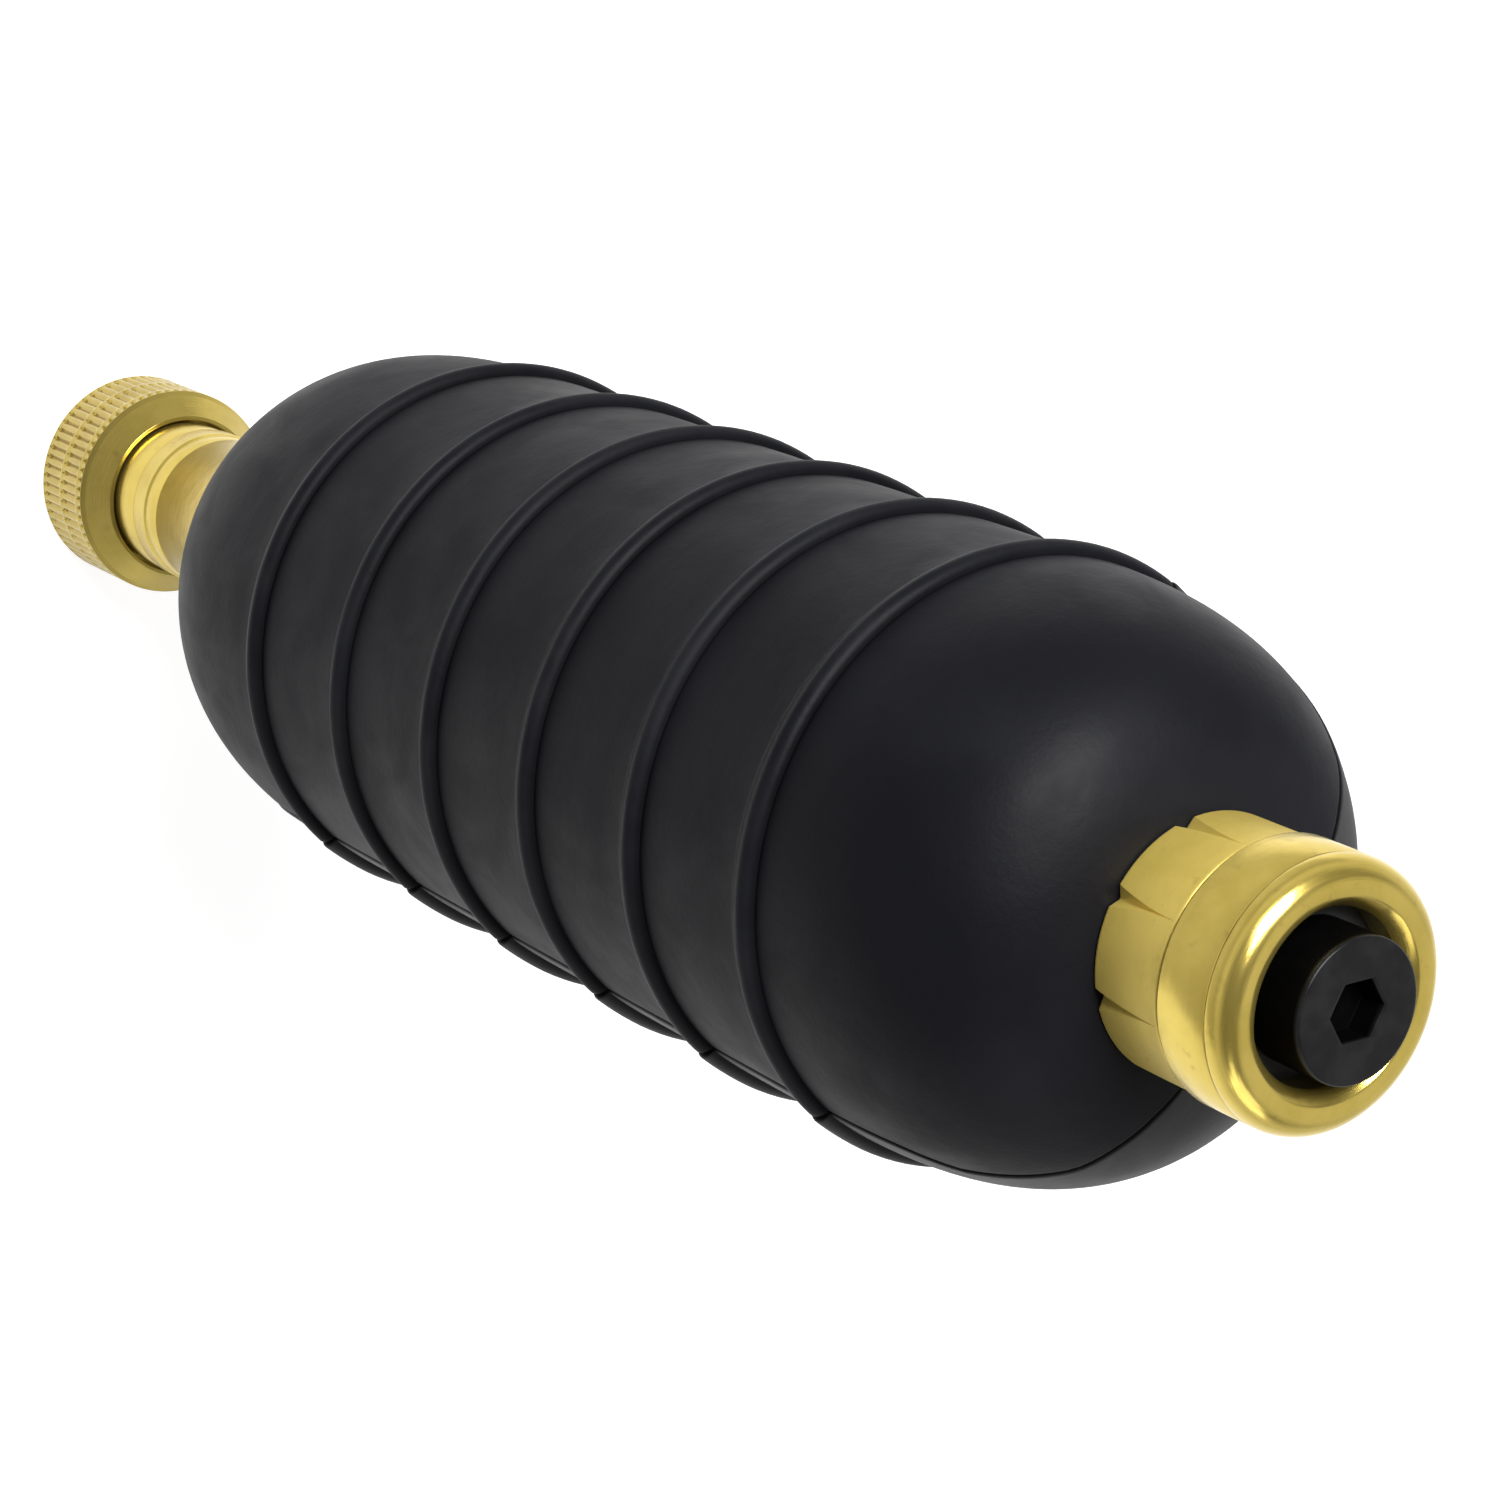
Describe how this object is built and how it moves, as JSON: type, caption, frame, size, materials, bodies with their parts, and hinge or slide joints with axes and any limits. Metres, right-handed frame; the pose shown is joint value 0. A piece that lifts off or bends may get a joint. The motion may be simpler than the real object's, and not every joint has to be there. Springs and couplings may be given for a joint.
{
  "type": "drain cleaning bladder",
  "caption": "Ribbed hollow rubber bladder with a knurled swivel hose coupling at one end and a sprung valve nozzle at the other.",
  "frame": {"origin": "centre of the coupling nut's open face, which the part stands on", "axes": "+Z along the bladder's axis from the hose coupling to the nozzle; X and Y across it"},
  "size_m": [0.073, 0.073, 0.2842],
  "materials": {
    "bladder_rubber": "satin moulded rubber",
    "turned_brass": "polished turned brass",
    "knurled_brass": "knurled brass",
    "seal_rubber": "matte rubber",
    "plug_plastic": "satin black plastic",
    "steel": "plain stainless steel"
  },
  "bodies": {
    "housing": {"bladder": "bladder_rubber", "tail_piece": "turned_brass", "inlet_ring_nut": "turned_brass", "nozzle_body": "turned_brass", "nozzle_ring_nut": "turned_brass", "nozzle_head": "turned_brass", "valve_seat": "seal_rubber"},
    "coupling": {"coupling_nut": "knurled_brass", "hose_washer": "seal_rubber"},
    "valve": {"valve_plug": "plug_plastic", "valve_stem": "steel", "spring_cup": "steel", "stem_nut": "steel", "valve_spring": "steel"}
  },
  "joints": [
    {"name": "coupling_swivel", "type": "hinge", "parent": "housing", "child": "coupling", "pos_m": [0, 0, 0.0124], "axis": [0, 0, 1], "continuous": true},
    {"name": "valve_lift", "type": "slide", "parent": "housing", "child": "valve", "axis": [0, 0, 1], "range_m": [0, 0.0025], "stiffness_N_per_m": 1500, "springref_m": -0.004, "deforming": ["valve_spring"]}
  ]
}
